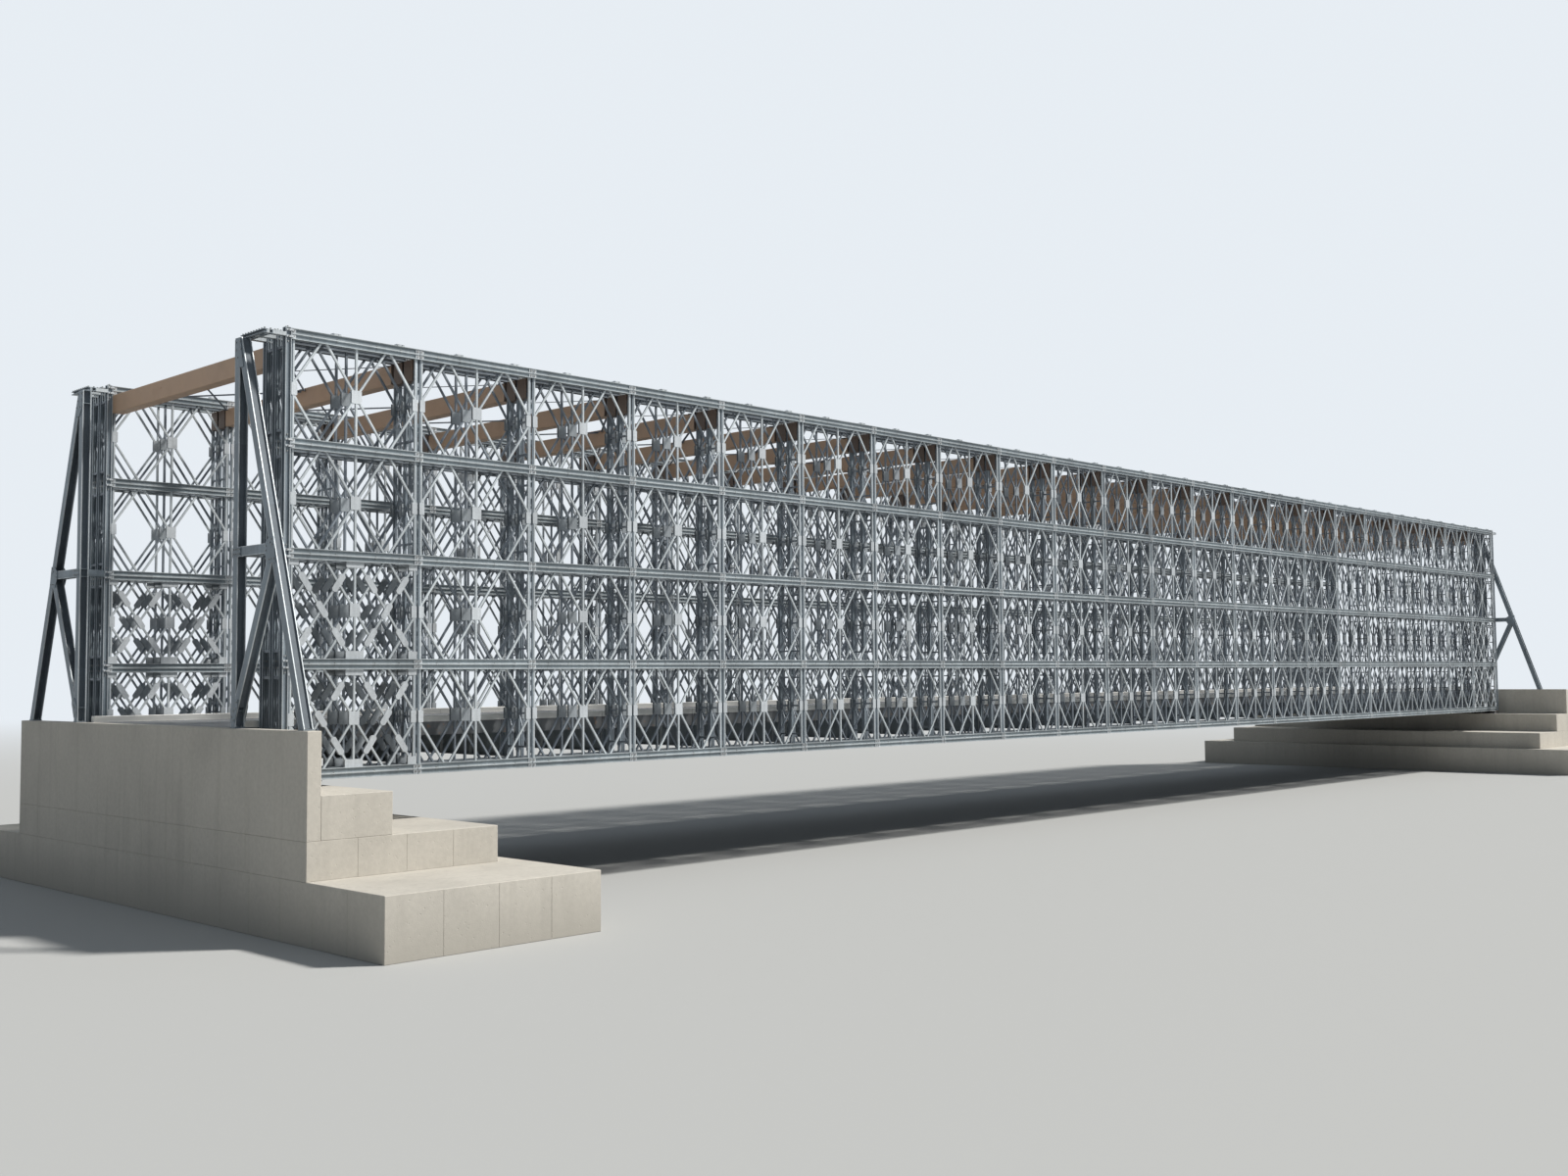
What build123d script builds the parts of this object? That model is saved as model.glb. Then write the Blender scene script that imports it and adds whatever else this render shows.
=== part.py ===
"""Modular panel bridge: a through bridge of stacked lattice panels, at half its real size.

X runs along the bridge, Y across it and Z up. The origin is in the middle of the bridge,
at the underside of the abutment footings. All sizes are millimetres of the half size model.
"""

import os
from math import hypot

from build123d import *

os.makedirs("parts", exist_ok=True)

# Panels
panel_length = 1524.0
bay_count = 22
storey_pitch = 1130.0
storey_count = 4
truss_spacing = 205.0
clear_width = 3915.0
seat_gap = 0.3

# Chords, each a pair of channels back to back
chord_depth = 56.0
chord_flange = 22.0
chord_web = 5.0
chord_lip = 6.0

# Lattice bars between the channels
bar_thickness = 10.0
diagonal_width = 30.0
joint_vertical_width = 90.0
centre_vertical_width = 28.0
end_vertical_width = 40.0

# End posts
end_post_width = 74.0
end_post_depth = 64.0
end_post_wall = 8.0

# Ties across the three trusses
tie_width = 100.0
tie_thickness = 24.0
tie_offset = 520.0

# Bearings
bearing_length = 300.0
bearing_plate = 14.0
bearing_overhang = 45.0
bearing_waist = 130.0
bearing_inset = 60.0

# Corner frames
frame_section = 100.0
frame_flange = 10.0
frame_web = 8.0
raker_reach = 1380.0
strut_height = 1790.0
foot_plate_size = 110.0
foot_plate_thickness = 12.0
brace_rise = 100.0
link_depth = 80.0
link_width = 60.0
head_beam_depth = 95.0
raker_drop = 40.0

# Overhead beams
beam_depth = 222.0
beam_width = 150.0

# Deck
transom_width = 90.0
deck_unit_depth = 150.0
deck_unit_gap = 6.0
deck_end_gap = 20.0
deck_edge_clearance = 120.0
kerb_height = 70.0
kerb_width = 75.0
kerb_slope = 25.0

# Abutments
road_level = 485.0
wall_clearance = 260.0
wall_thickness = 150.0
west_wing_overhang = 1135.0
east_wing_overhang = 1570.0
shelf_drop = 125.0
shelf_reach = 515.0
upper_step_drop = 550.0
upper_step_reach = 1760.0
lower_step_drop = 925.0
lower_step_reach = 2020.0
west_step_overhang = 2500.0
east_step_overhang = 2320.0
footing_drop = 1525.0

# Places that follow from the sizes above
truss_length = bay_count * panel_length
truss_end = truss_length / 2
bar_gap = 3 * bar_thickness
truss_width = bar_gap + 2 * chord_flange
inner_truss_y = clear_width / 2 + truss_width / 2
middle_truss_y = inner_truss_y + truss_spacing
outer_truss_y = middle_truss_y + truss_spacing
girder_face_y = outer_truss_y + truss_width / 2
level_height = [footing_drop + n * storey_pitch for n in range(storey_count + 1)]
girder_foot = level_height[0] - chord_depth - seat_gap / 2
girder_top = level_height[-1] + chord_depth + seat_gap / 2
joint_places = [n * panel_length - truss_end for n in range(bay_count + 1)]
centre_places = [(n + 0.5) * panel_length - truss_end for n in range(bay_count)]
road_height = level_height[0] + road_level
shelf_height = level_height[0] - shelf_drop

SIDES = {"south": -1, "north": 1}
ENDS = {"west": -1, "east": 1}
TRUSSES = {"outer": outer_truss_y, "middle": middle_truss_y, "inner": inner_truss_y}
WING_OVERHANGS = {"west": west_wing_overhang, "east": east_wing_overhang}
STEP_OVERHANGS = {"west": west_step_overhang, "east": east_step_overhang}


def finish(built, name):
    """Labels a finished piece and writes it under its own name."""
    built.part.label = name
    export_step(built.part, f"parts/{name}.step")


def block(x_range, y_range, z_range):
    """Adds a rectangular block to the open part, between its limits along X, Y and Z."""
    middle = [(low + high) / 2 for low, high in (x_range, y_range, z_range)]
    size = [abs(high - low) for low, high in (x_range, y_range, z_range)]
    with Locations(tuple(middle)):
        Box(*size)


def cross_places(width):
    """Where beams of this width cross the bridge: at each joint, and just inside both ends."""
    end_place = truss_end - width / 2
    return [-end_place, *joint_places[1:-1], end_place]


def chord_profile(web_face, flange_side, foot, plain):
    """Adds a chord's section, standing on foot, with its back at web_face.

    It is a channel, or a plain bar of the same size for a truss that stands behind another.
    """
    reach = flange_side * chord_flange
    step = flange_side * chord_web
    head = foot + chord_depth
    corners = [(web_face, foot), (web_face + reach, foot)]
    if not plain:
        corners += [
            (web_face + reach, foot + chord_lip),
            (web_face + step, foot + chord_lip),
            (web_face + step, head - chord_lip),
            (web_face + reach, head - chord_lip),
        ]
    corners += [(web_face + reach, head), (web_face, head)]
    Polygon(*corners, align=None)


def build_chords(side_name, truss_name):
    """The stacked chords of one truss: a pair at each storey joint, doubled top and bottom."""
    truss_y = SIDES[side_name] * TRUSSES[truss_name]
    plain = truss_name != "outer"
    with BuildPart() as chords:
        with BuildSketch(Plane.YZ.offset(-truss_end)):
            for level in level_height:
                for foot in (level - chord_depth - seat_gap / 2, level + seat_gap / 2):
                    for flange_side in (-1, 1):
                        web_face = truss_y + flange_side * bar_gap / 2
                        chord_profile(web_face, flange_side, foot, plain)
        extrude(amount=truss_length)
    finish(chords, f"{side_name}_{truss_name}_chords")


def bar_row(places, width, truss_y):
    """Adds one vertical bar at each place, from the bottom chord's foot to the top chord's head."""
    low, high = level_height[0] + seat_gap, level_height[-1] - seat_gap
    with Locations(*[(place, truss_y, (low + high) / 2) for place in places]):
        Box(width, bar_thickness, high - low)


def build_verticals(side_name):
    """A girder's verticals, at each panel joint, each panel's middle and both ends."""
    end_place = truss_end - end_vertical_width / 2
    with BuildPart() as verticals:
        for distance in TRUSSES.values():
            truss_y = SIDES[side_name] * distance
            bar_row(joint_places[1:-1], joint_vertical_width, truss_y)
            bar_row(centre_places, centre_vertical_width, truss_y)
            bar_row((-end_place, end_place), end_vertical_width, truss_y)
    finish(verticals, f"{side_name}_verticals")


def bar_corners(start, rise):
    """The corners of one diagonal through all storeys, cut off square at the truss's ends."""
    run = rise * panel_length / 2 / storey_pitch
    half = diagonal_width * hypot(1, run) / 2
    foot, head = level_height[0] + seat_gap, level_height[-1] - seat_gap
    corners = []
    for edge, heights in ((start - half, (foot, head)), (start + half, (head, foot))):
        for height in heights:
            place = edge + run * (height - level_height[0])
            inside = max(-truss_end, min(truss_end, place))
            corners.append((inside, height + (inside - place) / run))
    return corners


def build_diagonals(side_name, truss_name, rise):
    """One family of diagonals, in its own layer beside the verticals.

    Each runs straight through all storeys. It meets the chords a quarter and three quarters
    along a panel, and crosses the other family on the verticals at half a storey's height.
    """
    layer_y = SIDES[side_name] * (TRUSSES[truss_name] + rise * bar_thickness)
    first = panel_length / 4 - truss_end
    starts = [first + n * panel_length / 2 for n in range(-storey_count, 2 * bay_count)]
    with BuildPart() as diagonals:
        with BuildSketch(Plane.XZ.offset(-layer_y - bar_thickness / 2)):
            for start in starts:
                Polygon(*bar_corners(rise * start, rise), align=None)
        extrude(amount=bar_thickness)
    family = "rising" if rise > 0 else "falling"
    finish(diagonals, f"{side_name}_{truss_name}_{family}_diagonals")


def build_top_ties(side_name):
    """Flat ties across the top of a girder's three trusses, two to a panel."""
    width = 2 * truss_spacing + truss_width
    height = girder_top + seat_gap + tie_thickness / 2
    middle_y = SIDES[side_name] * middle_truss_y
    first = tie_offset - truss_end
    with BuildPart() as ties:
        with Locations(
            *[(first + n * panel_length / 2, middle_y, height) for n in range(2 * bay_count)]
        ):
            Box(tie_width, width, tie_thickness)
    finish(ties, f"{side_name}_top_ties")


def build_end_posts(end_name, side_name):
    """The channel posts that close the three trusses at one end of a girder."""
    end = ENDS[end_name]
    back = end * (truss_end + seat_gap)
    face = back + end * end_post_depth
    web = back + end * end_post_wall
    half = end_post_width / 2
    with BuildPart() as posts:
        with BuildSketch(Plane.XY.offset(girder_foot)):
            for distance in TRUSSES.values():
                y = SIDES[side_name] * distance
                Polygon(
                    (back, y - half),
                    (face, y - half),
                    (face, y - half + end_post_wall),
                    (web, y - half + end_post_wall),
                    (web, y + half - end_post_wall),
                    (face, y + half - end_post_wall),
                    (face, y + half),
                    (back, y + half),
                    align=None,
                )
        extrude(amount=girder_top - girder_foot)
    finish(posts, f"{end_name}_{side_name}_end_posts")


def build_bearing(end_name, side_name):
    """The bearing that carries one end of a girder on the shelf, waisted between two plates."""
    middle = ENDS[end_name] * (truss_end - bearing_inset - bearing_length / 2)
    foot, head = shelf_height + seat_gap, girder_foot - seat_gap
    half, waist = bearing_length / 2, bearing_waist / 2
    width = 2 * truss_spacing + truss_width + 2 * bearing_overhang
    front = SIDES[side_name] * middle_truss_y + width / 2
    left = [
        (-half, foot),
        (-half, foot + bearing_plate),
        (-waist, foot + bearing_plate),
        (-waist, head - bearing_plate),
        (-half, head - bearing_plate),
        (-half, head),
    ]
    outline = [(middle + x, z) for x, z in left] + [(middle - x, z) for x, z in reversed(left)]
    with BuildPart() as bearing:
        with BuildSketch(Plane.XZ.offset(-front)):
            Polygon(*outline, align=None)
        extrude(amount=width)
    finish(bearing, f"{end_name}_{side_name}_bearing")


def frame_member(start, end, frame_x):
    """Adds an H section bar of a corner frame between two points, each across and up.

    Its flanges face along the bridge, and its web joins them through the middle.
    """
    run, climb = end[0] - start[0], end[1] - start[1]
    plane = Plane((frame_x, *start), x_dir=(1, 0, 0), z_dir=(0, run, climb))
    with BuildSketch(plane) as section:
        Rectangle(frame_section, frame_web)
        flange_place = (frame_section - frame_flange) / 2
        with Locations((-flange_place, 0), (flange_place, 0)):
            Rectangle(frame_flange, frame_section)
    extrude(section.sketch, amount=hypot(run, climb))


def build_link(end, frame_x, y, low):
    """Adds a level link from a corner frame to the end post of one truss."""
    block(
        (frame_x, end * (truss_end + end_post_depth + 2 * seat_gap)),
        (y - link_width / 2, y + link_width / 2),
        (low, low + link_depth),
    )


def build_corner_frame(end_name, side_name):
    """The braced A frame that stands on the ballast wall and steadies a girder's corner.

    Its foot plates lie flush with the wall's front.
    The raker, the strut and the inner diagonal are each cut to lie close against the member
    that carries them. A head beam lies on the post, and has a link to each of the trusses.
    """
    end, side = ENDS[end_name], SIDES[side_name]
    frame_x = end * (truss_end + wall_clearance + foot_plate_size / 2)
    foot = road_height + seat_gap
    base = foot + foot_plate_thickness
    post_y = side * inner_truss_y
    raker_y = side * (inner_truss_y + raker_reach)
    face_y = post_y + side * frame_section / 2
    strut_z = road_height + strut_height
    post_head = girder_top - head_beam_depth - seat_gap
    meet = post_head - raker_drop
    lean = (raker_y - face_y) / (meet - base)
    knot = (face_y + lean * (meet - strut_z), strut_z)
    tail = (raker_y + lean * frame_section, base - frame_section)
    raker_length = hypot(knot[0] - tail[0], knot[1] - tail[1])
    raker_normal = (0, side * (knot[1] - tail[1]) / raker_length, abs(tail[0] - knot[0]) / raker_length)
    inner_face = Plane((frame_x, *knot), z_dir=raker_normal).offset(-frame_section / 2 - seat_gap)
    post_face = Plane((frame_x, face_y + side * seat_gap, 0), z_dir=(0, side, 0))
    strut_foot = strut_z - frame_section / 2
    with BuildPart() as frame:
        frame_member((post_y, base + brace_rise), knot, frame_x)
        split(bisect_by=Plane.XY.offset(strut_foot - seat_gap), keep=Keep.BOTTOM)
        frame_member((post_y, strut_z), knot, frame_x)
        split(bisect_by=inner_face, keep=Keep.BOTTOM)
        frame_member(tail, (face_y - lean * frame_section, meet + frame_section), frame_x)
        split(bisect_by=post_face)
        split(bisect_by=Plane.XY.offset(base))
        split(bisect_by=Plane.XY.offset(post_head), keep=Keep.BOTTOM)
        frame_member((post_y, base), (post_y, post_head), frame_x)
        with Locations(*[(frame_x, y, (foot + base) / 2) for y in (post_y, raker_y)]):
            Box(foot_plate_size, foot_plate_size, foot_plate_thickness)
        build_link(end, frame_x, post_y, strut_z - link_depth / 2)
        block(
            (frame_x - frame_section / 2, frame_x + frame_section / 2),
            (post_y - side * frame_section / 2, side * girder_face_y),
            (post_head + seat_gap, girder_top),
        )
        for distance in TRUSSES.values():
            build_link(end, frame_x, side * distance, girder_top - link_depth)
    finish(frame, f"{end_name}_{side_name}_corner_frame")


def build_overhead_beams():
    """The box beams that tie the girders' tops together, one under each pair of top chord joints."""
    head = level_height[-1] - chord_depth - 3 * seat_gap / 2
    reach = inner_truss_y - bar_gap / 2 - seat_gap
    with BuildPart() as beams:
        with Locations(*[(x, 0, head - beam_depth / 2) for x in cross_places(beam_width)]):
            Box(beam_width, 2 * reach, beam_depth)
    finish(beams, "overhead_beams")


def build_transoms():
    """The cross beams that carry the deck, seated on the inner trusses' bottom chords."""
    foot = level_height[0] + chord_depth + 3 * seat_gap / 2
    head = road_height - deck_unit_depth - seat_gap
    reach = inner_truss_y - bar_gap / 2 - seat_gap
    with BuildPart() as transoms:
        with Locations(*[(x, 0, (foot + head) / 2) for x in cross_places(transom_width)]):
            Box(transom_width, 2 * reach, head - foot)
    finish(transoms, "transoms")


def build_deck():
    """The steel deck, one unit to a panel, with longer units that reach the ballast walls."""
    half_width = clear_width / 2 - deck_edge_clearance
    end_place = truss_end + wall_clearance - deck_end_gap
    edges = [-end_place, *joint_places[1:-1], end_place]
    gap = deck_unit_gap / 2
    with BuildPart() as deck:
        for first, second in zip(edges[:-1], edges[1:]):
            block(
                (first + gap, second - gap),
                (-half_width, half_width),
                (road_height - deck_unit_depth, road_height),
            )
    finish(deck, "deck_units")


def build_kerb(side_name):
    """The kerb along one edge of the deck, sloped on its road side."""
    outer_y = SIDES[side_name] * (clear_width / 2 - deck_edge_clearance)
    inner_y = outer_y - SIDES[side_name] * kerb_width
    foot = road_height + seat_gap
    end_place = truss_end + wall_clearance - deck_end_gap
    with BuildPart() as kerb:
        with BuildSketch(Plane.YZ.offset(-end_place)):
            Polygon(
                (outer_y, foot),
                (outer_y, foot + kerb_height),
                (inner_y + SIDES[side_name] * kerb_slope, foot + kerb_height),
                (inner_y, foot),
                align=None,
            )
        extrude(amount=2 * end_place)
    finish(kerb, f"{side_name}_kerb")


def build_abutment(end_name):
    """The ballast wall behind the girders and the bearing shelf that carries them."""
    end = ENDS[end_name]
    back = end * (truss_end + wall_clearance + wall_thickness)
    wall_front = end * (truss_end + wall_clearance)
    shelf_front = end * (truss_end - shelf_reach)
    foot = level_height[0] - upper_step_drop
    wing = girder_face_y + WING_OVERHANGS[end_name]
    with BuildPart() as abutment:
        with BuildSketch(Plane.XZ.offset(-wing)):
            Polygon(
                (back, foot),
                (back, road_height),
                (wall_front, road_height),
                (wall_front, shelf_height),
                (shelf_front, shelf_height),
                (shelf_front, foot),
                align=None,
            )
        extrude(amount=2 * wing)
    finish(abutment, f"{end_name}_abutment")


def build_footing(end_name):
    """The two stepped tiers below an abutment, the lower one spread wide under the bank."""
    end = ENDS[end_name]
    back = end * (truss_end + wall_clearance + wall_thickness)
    upper_head = level_height[0] - upper_step_drop - seat_gap
    lower_head = level_height[0] - lower_step_drop
    upper_wing = girder_face_y + WING_OVERHANGS[end_name]
    lower_wing = girder_face_y + STEP_OVERHANGS[end_name]
    with BuildPart() as footing:
        block(
            (back, end * (truss_end - upper_step_reach)),
            (-upper_wing, upper_wing),
            (0, upper_head),
        )
        block(
            (back, end * (truss_end - lower_step_reach)),
            (-lower_wing, lower_wing),
            (0, lower_head),
        )
    finish(footing, f"{end_name}_footing")


for side_name in SIDES:
    for truss_name in TRUSSES:
        build_chords(side_name, truss_name)
        build_diagonals(side_name, truss_name, 1)
        build_diagonals(side_name, truss_name, -1)
    build_verticals(side_name)
    build_top_ties(side_name)
    build_kerb(side_name)
    for end_name in ENDS:
        build_end_posts(end_name, side_name)
        build_bearing(end_name, side_name)
        build_corner_frame(end_name, side_name)

for end_name in ENDS:
    build_abutment(end_name)
    build_footing(end_name)

build_overhead_beams()
build_transoms()
build_deck()
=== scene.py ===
from math import cos, hypot, pi, radians, sin

import bpy
import numpy as np
from mathutils import Matrix, Vector


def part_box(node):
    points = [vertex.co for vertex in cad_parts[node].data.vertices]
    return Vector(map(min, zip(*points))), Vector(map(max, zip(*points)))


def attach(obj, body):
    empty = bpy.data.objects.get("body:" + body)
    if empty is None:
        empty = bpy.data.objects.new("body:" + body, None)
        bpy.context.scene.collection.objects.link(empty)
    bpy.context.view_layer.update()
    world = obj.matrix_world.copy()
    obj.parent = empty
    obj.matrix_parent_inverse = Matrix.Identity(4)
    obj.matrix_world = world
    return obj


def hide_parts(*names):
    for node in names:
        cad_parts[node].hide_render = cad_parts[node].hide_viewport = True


# The bridge's looks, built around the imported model. Lengths are metres of the half size model:
# X runs along the bridge, Y across it to the far girder, and Z up.

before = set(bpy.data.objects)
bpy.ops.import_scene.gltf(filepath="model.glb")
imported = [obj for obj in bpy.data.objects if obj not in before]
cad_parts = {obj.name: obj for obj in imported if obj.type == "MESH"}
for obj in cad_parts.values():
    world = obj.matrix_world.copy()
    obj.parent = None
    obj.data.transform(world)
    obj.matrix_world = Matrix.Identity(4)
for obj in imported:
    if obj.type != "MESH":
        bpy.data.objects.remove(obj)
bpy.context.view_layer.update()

# Places read from the frame

SIDES = {"south": -1, "north": 1}
ENDS = {"west": -1, "east": 1}
TRUSSES = ("outer", "middle", "inner")
BAYS = 22
STOREYS = 4
CHORD = 0.056
FLANGE = 0.022
WEB = 0.005
LIP = 0.008
HALF_GAP = 0.015

chords_low, chords_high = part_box("south_outer_chords")
WEST = chords_low.x
LENGTH = chords_high.x - chords_low.x
BAY = LENGTH / BAYS
FOOT = chords_low.z
HEAD = chords_high.z
LEVEL_0 = FOOT + CHORD
PITCH = (HEAD - FOOT - 2 * CHORD) / STOREYS
LEVELS = [LEVEL_0 + n * PITCH for n in range(STOREYS + 1)]
HALF_TRUSS = (chords_high.y - chords_low.y) / 2
JOINTS = [WEST + n * BAY for n in range(BAYS + 1)]


def truss_y(side_name, truss_name):
    """The place of a truss's middle across the bridge."""
    low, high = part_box(f"{side_name}_{truss_name}_chords")
    return (low.y + high.y) / 2


def spaces_between(side_name, inset):
    """The two spaces between a girder's trusses, from south to north, with an inset at each truss."""
    lanes = sorted(truss_y(side_name, truss_name) for truss_name in TRUSSES)
    return [(a + inset, b - inset) for a, b in zip(lanes, lanes[1:])]


# Meshes from many small prisms

BAR_EDGE = 0.003


def cut_corners(x0, x1, z0, z1, cut):
    """The outline of a rectangle whose corners are cut off."""
    return [
        (x0 + cut, z0), (x1 - cut, z0), (x1, z0 + cut), (x1, z1 - cut),
        (x1 - cut, z1), (x0 + cut, z1), (x0, z1 - cut), (x0, z0 + cut),
    ]


class Shape:
    """A list of flat faces, each with the number of its finish."""

    def __init__(self):
        self.points, self.faces, self.finishes = [], [], []

    def prism(self, ring, along, finish=0):
        """Adds the solid that a flat ring of points sweeps when it moves along a vector."""
        ring = [Vector(p) for p in ring]
        along = Vector(along)
        normal = Vector((0, 0, 0))
        for a, b in zip(ring, ring[1:] + ring[:1]):
            normal += a.cross(b)
        if normal.dot(along) < 0:
            ring.reverse()
        first, count = len(self.points), len(ring)
        self.points += [tuple(p) for p in ring] + [tuple(p + along) for p in ring]
        for i in range(count):
            j = (i + 1) % count
            self.faces.append((first + i, first + j, first + count + j, first + count + i))
        self.faces.append(tuple(range(first + count - 1, first - 1, -1)))
        self.faces.append(tuple(range(first + count, first + 2 * count)))
        self.finishes += [finish] * (count + 2)

    def block(self, corner, opposite, finish=0):
        """Adds a rectangular block between any two opposite corners."""
        (x0, y0, z0), (x1, y1, z1) = corner, opposite
        self.prism([(x0, y0, z0), (x1, y0, z0), (x1, y1, z0), (x0, y1, z0)], (0, 0, z1 - z0), finish)

    def plate(self, outline, y0, y1, finish=0):
        """Adds a plate in the XZ plane, from its outline, between two places across."""
        self.prism([(x, y0, z) for x, z in outline], (0, y1 - y0, 0), finish)

    def profile(self, outline, x0, x1, finish=0):
        """Adds a bar along X, from its outline in the YZ plane."""
        self.prism([(x0, y, z) for y, z in outline], (x1 - x0, 0, 0), finish)

    def rod(self, centre, axis, radius, length, finish=0, sides=6):
        """Adds a round or many-sided bar that starts at centre and runs along axis X, Y or Z."""
        x, y, z = centre
        ring = []
        for n in range(sides):
            angle = 2 * pi * n / sides
            a, b = radius * cos(angle), radius * sin(angle)
            ring.append({"X": (x, y + a, z + b), "Y": (x + a, y, z + b), "Z": (x + a, y + b, z)}[axis])
        along = {"X": (length, 0, 0), "Y": (0, length, 0), "Z": (0, 0, length)}[axis]
        self.prism(ring, along, finish)

    def bar(self, start, end, width, depth, finish):
        """Adds a bar with softened edges between two points in the XZ plane, this deep to each side."""
        (ax, az), (bx, bz) = start, end
        length = hypot(bx - ax, bz - az)
        nx, nz = (az - bz) / length, (bx - ax) / length
        section = cut_corners(-width / 2, width / 2, -depth, depth, BAR_EDGE)
        self.prism([(ax + nx * s, y, az + nz * s) for s, y in section], (bx - ax, 0, bz - az), finish)

    def arrays(self):
        """The points, the faces' sizes, their corners and their finishes, for numpy."""
        sizes = np.array([len(f) for f in self.faces], np.int32)
        loops = np.array([i for f in self.faces for i in f], np.int32)
        return np.array(self.points, np.float64), sizes, loops, np.array(self.finishes, np.int32)


class Pile:
    """Collects moved and mirrored copies of shapes, for one joined mesh."""

    def __init__(self):
        self.chunks, self.count = [], 0

    def add(self, shape, places=((0, 0, 0),), mirror=(1, 1, 1)):
        """Adds a copy of shape at each place, mirrored first where mirror has a minus."""
        points, sizes, loops, finishes = shape.arrays()
        points = points * np.array(mirror, float)
        if np.prod(mirror) < 0:
            ends = np.cumsum(sizes)
            loops = np.concatenate([loops[e - s:e][::-1] for s, e in zip(sizes, ends)])
        places = np.array(places, float).reshape(-1, 3)
        copies = len(places)
        moved = (points[None] + places[:, None]).reshape(-1, 3)
        steps = np.arange(copies)[:, None] * len(points) + self.count
        self.chunks.append((
            moved, np.tile(sizes, copies), (loops[None] + steps).ravel(), np.tile(finishes, copies)
        ))
        self.count += len(moved)

    def moved_across(self, y):
        """A copy of the pile, moved across the bridge."""
        copy = Pile()
        copy.chunks = [(points + np.array((0, y, 0)), *rest) for points, *rest in self.chunks]
        return copy

    def piece(self, name, materials, slot, replaces=()):
        """Makes one joined mesh of all the copies, which rides on the bridge's only body."""
        points, sizes, loops, finishes = (np.concatenate(c) for c in zip(*self.chunks))
        mesh = bpy.data.meshes.new(name)
        mesh.vertices.add(len(points))
        mesh.vertices.foreach_set("co", points.astype(np.float32).ravel())
        mesh.loops.add(len(loops))
        mesh.loops.foreach_set("vertex_index", loops.astype(np.int32))
        mesh.polygons.add(len(sizes))
        starts = np.concatenate([[0], np.cumsum(sizes)[:-1]]).astype(np.int32)
        mesh.polygons.foreach_set("loop_start", starts)
        mesh.polygons.foreach_set("material_index", finishes.astype(np.int32))
        mesh.update(calc_edges=True)
        mesh.shade_flat()
        for material in materials:
            mesh.materials.append(material)
        obj = bpy.data.objects.new(name, mesh)
        bpy.context.scene.collection.objects.link(obj)
        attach(obj, "root")
        if replaces:
            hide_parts(*replaces)


def make_piece(name, shape, materials, slot, replaces, mirror=(1, 1, 1), places=((0, 0, 0),)):
    """Makes a piece from copies of one shape, mirrored where mirror has a minus."""
    pile = Pile()
    pile.add(shape, places, mirror)
    pile.piece(name, materials, slot, replaces)


# Materials

# The sockets of a Mix node that hold colours
MIX_FIRST, MIX_SECOND, MIX_RESULT = 6, 7, 2

# Steel has a tone of its own in each block of this size, about one to a panel
TONE_BLOCK = (BAY, 0.19, PITCH)
TONE_START = (WEST, 0.0, LEVEL_0)


def add_node(tree, kind, inputs=None, **settings):
    """Adds a node. Each input that is named or numbered gets a value, or a link from another node."""
    node = tree.nodes.new(f"ShaderNode{kind}")
    for name, value in settings.items():
        setattr(node, name, value)
    for name, value in (inputs or {}).items():
        if isinstance(value, bpy.types.NodeSocket):
            tree.links.new(value, node.inputs[name])
        else:
            node.inputs[name].default_value = value
    return node


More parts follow.
